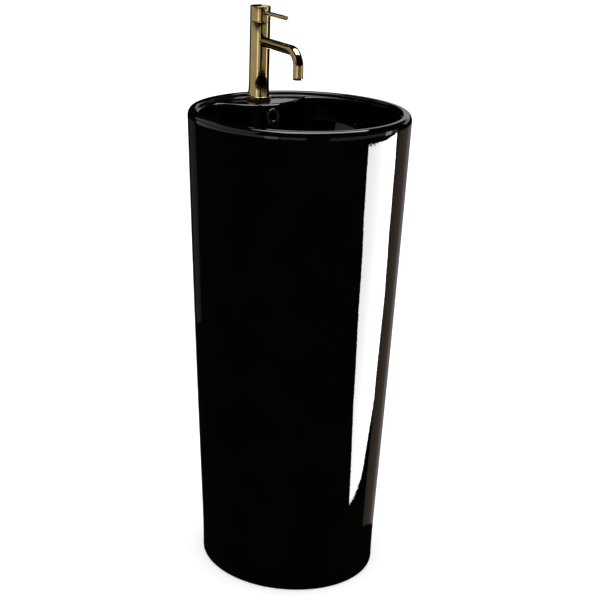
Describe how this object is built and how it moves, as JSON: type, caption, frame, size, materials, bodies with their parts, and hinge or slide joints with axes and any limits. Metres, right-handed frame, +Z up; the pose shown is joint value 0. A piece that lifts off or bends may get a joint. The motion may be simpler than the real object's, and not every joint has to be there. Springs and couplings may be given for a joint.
{
  "type": "pedestal sink",
  "caption": "Free-standing black column basin with a recessed tap ledge, overflow, push plug, bottle trap and a gold single-lever mixer.",
  "frame": {"origin": "middle of the foot, on the floor", "axes": "+Z up, -Y to the front, the tap stands at +Y"},
  "size_m": [0.399, 0.4, 1.0302],
  "materials": {
    "basin": "glossy black glaze",
    "overflow_ring": "glossy black trim",
    "waste_body": "polished gold",
    "waste_top_seal": "matt black",
    "waste_gasket": "matt black",
    "waste_backnut": "machined",
    "plug_cap": "polished gold",
    "plug_seal": "matt black",
    "plug_stem": "machined",
    "plug_guide": "machined",
    "plug_spring": "wire",
    "trap_inlet_washer": "matt black",
    "trap_inlet_pipe": "polished",
    "trap_inlet_nut": "polished",
    "trap_neck_nut": "polished",
    "trap_body": "polished",
    "trap_cup": "moulded",
    "trap_cup_seal": "matt black",
    "trap_outlet_nut": "polished",
    "trap_outlet_pipe": "polished",
    "tap_base_gasket": "matt black",
    "tap_base_ring": "polished gold",
    "tap_body": "polished gold",
    "spout": "polished gold",
    "aerator_housing": "moulded",
    "aerator_screen": "moulded",
    "cartridge_seal": "matt black",
    "cartridge_body": "moulded",
    "disc_fixed": "lapped",
    "disc_moving": "lapped",
    "cartridge_rotor": "moulded",
    "cartridge_nut": "machined",
    "cartridge_stem": "machined",
    "stem_pin": "machined",
    "handle_cap": "polished gold",
    "lever": "polished gold",
    "grub_screw": "machined",
    "grub_cover": "polished gold",
    "mounting_stud": "machined",
    "horseshoe_gasket": "matt black",
    "horseshoe_washer": "pressed",
    "mounting_nut": "machined",
    "inlet_tail_hot": "copper tube",
    "inlet_tail_cold": "copper tube"
  },
  "bodies": {
    "basin_fixed": {"basin": "basin", "overflow_ring": "overflow_ring", "waste_body": "waste_body", "waste_top_seal": "waste_top_seal", "waste_gasket": "waste_gasket", "waste_backnut": "waste_backnut", "plug_guide": "plug_guide", "plug_spring": "plug_spring", "trap_inlet_washer": "trap_inlet_washer", "trap_inlet_pipe": "trap_inlet_pipe", "trap_inlet_nut": "trap_inlet_nut", "trap_neck_nut": "trap_neck_nut", "trap_body": "trap_body", "trap_cup": "trap_cup", "trap_cup_seal": "trap_cup_seal", "trap_outlet_nut": "trap_outlet_nut", "trap_outlet_pipe": "trap_outlet_pipe", "tap_base_gasket": "tap_base_gasket", "tap_base_ring": "tap_base_ring", "tap_body": "tap_body", "spout": "spout", "aerator_housing": "aerator_housing", "aerator_screen": "aerator_screen", "cartridge_seal": "cartridge_seal", "cartridge_body": "cartridge_body", "disc_fixed": "disc_fixed", "cartridge_nut": "cartridge_nut", "mounting_stud": "mounting_stud", "horseshoe_gasket": "horseshoe_gasket", "horseshoe_washer": "horseshoe_washer", "mounting_nut": "mounting_nut", "inlet_tail_hot": "inlet_tail_hot", "inlet_tail_cold": "inlet_tail_cold"},
    "mixer_rotor": {"cartridge_rotor": "cartridge_rotor"},
    "moving_disc": {"disc_moving": "disc_moving"},
    "handle": {"cartridge_stem": "cartridge_stem", "stem_pin": "stem_pin", "handle_cap": "handle_cap", "lever": "lever", "grub_screw": "grub_screw", "grub_cover": "grub_cover"},
    "plug": {"plug_cap": "plug_cap", "plug_seal": "plug_seal", "plug_stem": "plug_stem"}
  },
  "joints": [
    {"name": "temperature_turn", "type": "hinge", "parent": "basin_fixed", "child": "mixer_rotor", "pos_m": [0, 0.157, 0.993], "axis": [0, 0, 1], "range_deg": [-45, 45]},
    {"name": "flow_tilt", "type": "hinge", "parent": "mixer_rotor", "child": "handle", "pos_m": [0, 0.157, 0.993], "axis": [-1, 0, 0], "range_deg": [0, 24]},
    {"name": "disc_slide", "type": "slide", "parent": "mixer_rotor", "child": "moving_disc", "axis": [0, -1, 0], "range_m": [0, 0.0028]},
    {"name": "plug_lift", "type": "slide", "parent": "basin_fixed", "child": "plug", "axis": [0, 0, 1], "range_m": [0, 0.009], "deforming": ["plug_spring"]}
  ],
  "couplings": [
    {"joint": "disc_slide", "follows": "flow_tilt", "m_per_rad": 0.0064}
  ]
}
